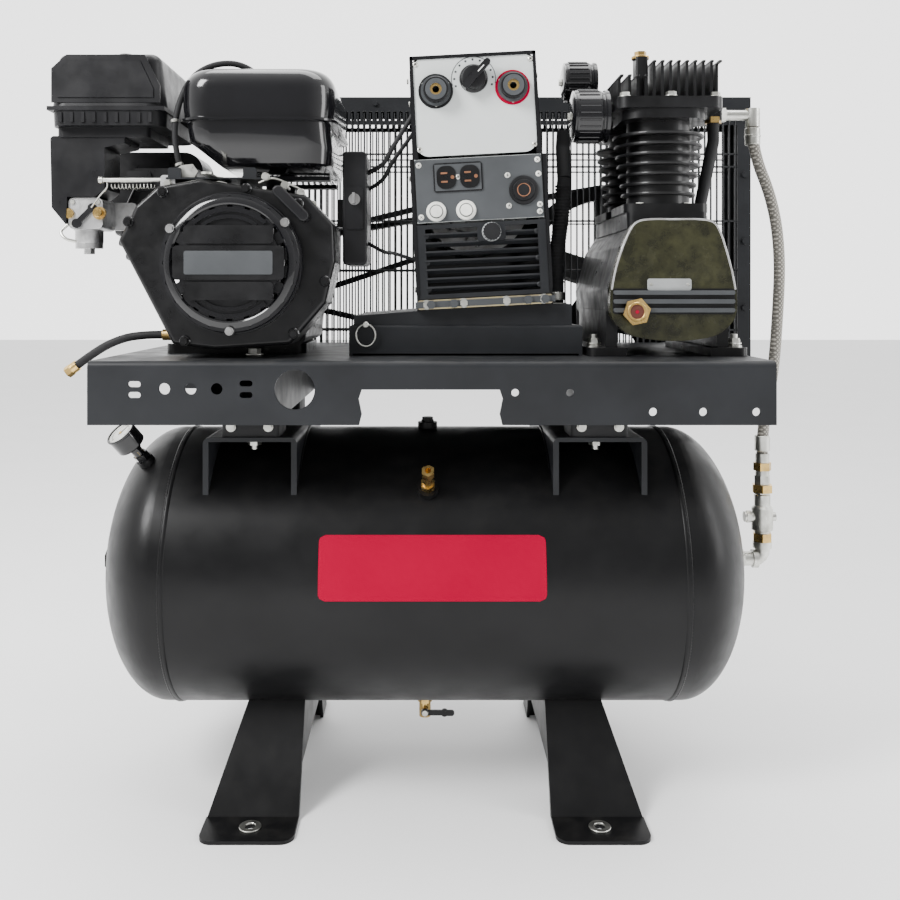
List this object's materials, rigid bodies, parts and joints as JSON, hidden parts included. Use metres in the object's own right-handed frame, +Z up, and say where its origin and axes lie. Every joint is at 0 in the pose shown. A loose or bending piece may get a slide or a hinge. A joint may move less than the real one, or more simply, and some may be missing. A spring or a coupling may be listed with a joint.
{
  "type": "engine-driven air compressor",
  "caption": "Petrol-engine-driven twin-cylinder air compressor and belt-driven welder generator on a deck above a horizontal air tank.",
  "frame": {"origin": "on the floor, at the centre of the four foot anchor holes, under the middle of the tank", "axes": "+X to the operator's right along the tank, +Y from the operator's side to the belt guard, +Z up"},
  "size_m": [1.1133, 0.584, 1.088],
  "materials": {
    "tank_black": "satin black powder coat",
    "deck_black": "dark grey powder coat",
    "casting_black": "gloss black painted casting",
    "engine_black": "semi-gloss black enamel",
    "moulded_black": "fine-grained moulded black plastic",
    "gloss_black": "gloss black enamel",
    "brass": "bare brass",
    "zinc": "zinc plated steel",
    "galvanised": "galvanised steel",
    "steel": "machined steel",
    "aluminium": "cast aluminium",
    "rubber": "black rubber",
    "hose_grey": "braided hose",
    "panel_silver": "light silver panel",
    "panel_dark": "dark grey panel",
    "knob_black": "black knob plastic",
    "button_white": "white push button",
    "cover_olive": "gloss dark cover"
  },
  "bodies": {
    "chassis": {"tank_shell": "tank_black", "tank_ports": "tank_black", "brass_fittings": "brass", "tank_gauge": "knob_black", "hose_fittings": "galvanised", "check_valve": "brass", "tank_legs": "deck_black", "deck_tray": "deck_black", "deck_supports": "deck_black", "deck_isolators": "rubber", "mounting_bolts": "zinc", "engine_block": "engine_black", "pistons": "aluminium", "valve_cover": "engine_black", "blower_shroud": "gloss_black", "recoil_cover": "moulded_black", "fuel_tank": "gloss_black", "engine_brackets": "zinc", "air_cleaner_base": "moulded_black", "air_cleaner_cover": "moulded_black", "carburettor": "aluminium", "exhaust_silencer": "engine_black", "control_box": "moulded_black", "oil_drain_hose": "rubber", "welder_casing": "engine_black", "front_panels": "panel_silver", "louvre_grille": "panel_dark", "panel_fittings": "knob_black", "generator_stator": "engine_black", "generator_slide": "deck_black", "pump_crankcase": "casting_black", "pump_front_cover": "cover_olive", "pump_cylinders": "casting_black", "pump_head": "casting_black", "intake_filters": "engine_black", "pump_pipes": "rubber", "discharge_hose": "hose_grey", "belt_guard_frame": "deck_black", "belt_guard_mesh": "steel", "drive_belts": "rubber"},
    "engine_crank": {"engine_crankshaft": "steel", "engine_flywheel": "aluminium", "engine_pulley": "steel"},
    "pump_crank": {"pump_crankshaft": "steel", "pump_flywheel": "casting_black"},
    "generator_shaft": {"generator_rotor": "steel", "generator_pulley": "steel"},
    "grip": {"recoil_grip": "knob_black"},
    "cap": {"fuel_cap": "knob_black"},
    "air_knob": {"air_cleaner_knob": "knob_black"},
    "choke": {"choke_lever": "zinc"},
    "throttle": {"throttle_lever": "zinc"},
    "key": {"ignition_key": "steel"},
    "dipstick": {"oil_dipstick": "knob_black"},
    "drain_handle": {"drain_lever": "zinc"},
    "selector": {"current_selector": "knob_black"},
    "reset_left": {"breaker_left": "button_white"},
    "reset_right": {"breaker_right": "button_white"},
    "dial": {"output_dial": "knob_black"},
    "relief_pull": {"relief_ring": "steel"}
  },
  "joints": [
    {"name": "pump_spin", "type": "hinge", "parent": "chassis", "child": "pump_crank", "pos_m": [0.34, 0.2, 0.751], "axis": [0, 1, 0], "continuous": true},
    {"name": "engine_spin", "type": "hinge", "parent": "chassis", "child": "engine_crank", "pos_m": [-0.257, 0.1, 0.766], "axis": [0, 1, 0], "continuous": true},
    {"name": "generator_spin", "type": "hinge", "parent": "chassis", "child": "generator_shaft", "pos_m": [0.077, 0.1, 0.862], "axis": [0, 1, 0], "continuous": true},
    {"name": "recoil_pull", "type": "slide", "parent": "chassis", "child": "grip", "axis": [0, -1, 0], "range_m": [0, 0.45], "stiffness_N_per_m": 15},
    {"name": "fuel_cap_turn", "type": "hinge", "parent": "chassis", "child": "cap", "pos_m": [-0.23, -0.04, 1.045], "axis": [0, 0, 1], "range_deg": [0, 90]},
    {"name": "air_knob_turn", "type": "hinge", "parent": "chassis", "child": "air_knob", "pos_m": [-0.432, -0.1, 1.065], "axis": [0, 0, 1], "range_deg": [0, 270]},
    {"name": "choke_swing", "type": "hinge", "parent": "chassis", "child": "choke", "pos_m": [-0.466, -0.148, 0.846], "axis": [0, 1, 0], "range_deg": [-60, 0]},
    {"name": "throttle_swing", "type": "hinge", "parent": "chassis", "child": "throttle", "pos_m": [-0.29, -0.16, 0.885], "axis": [0, 0, 1], "range_deg": [-25, 25]},
    {"name": "key_turn", "type": "hinge", "parent": "chassis", "child": "key", "pos_m": [-0.099, -0.155, 0.858], "axis": [0, 1, 0], "range_deg": [0, 60]},
    {"name": "dipstick_turn", "type": "hinge", "parent": "chassis", "child": "dipstick", "pos_m": [-0.36, -0.07, 0.69], "axis": [-1, 0, 0], "range_deg": [0, 270]},
    {"name": "drain_turn", "type": "hinge", "parent": "chassis", "child": "drain_handle", "pos_m": [0, -0.016, 0.0828], "axis": [0, 1, 0], "range_deg": [0, 90]},
    {"name": "selector_turn", "type": "hinge", "parent": "chassis", "child": "selector", "pos_m": [0.06815, -0.15, 1.02756], "axis": [0, 1, 0], "range_deg": [-90, 135]},
    {"name": "reset_left_push", "type": "slide", "parent": "chassis", "child": "reset_left", "axis": [0, 1, 0], "range_m": [0, 0.003], "stiffness_N_per_m": 400},
    {"name": "reset_right_push", "type": "slide", "parent": "chassis", "child": "reset_right", "axis": [0, 1, 0], "range_m": [0, 0.003], "stiffness_N_per_m": 400},
    {"name": "dial_turn", "type": "hinge", "parent": "chassis", "child": "dial", "pos_m": [0.09343, -0.15, 0.81259], "axis": [0, 1, 0], "range_deg": [0, 270]},
    {"name": "relief_lift", "type": "slide", "parent": "chassis", "child": "relief_pull", "axis": [0, 0, 1], "range_m": [0, 0.004], "stiffness_N_per_m": 300}
  ],
  "couplings": [
    {"joint": "engine_spin", "follows": "pump_spin", "ratio": 3},
    {"joint": "generator_spin", "follows": "pump_spin", "ratio": 4}
  ]
}
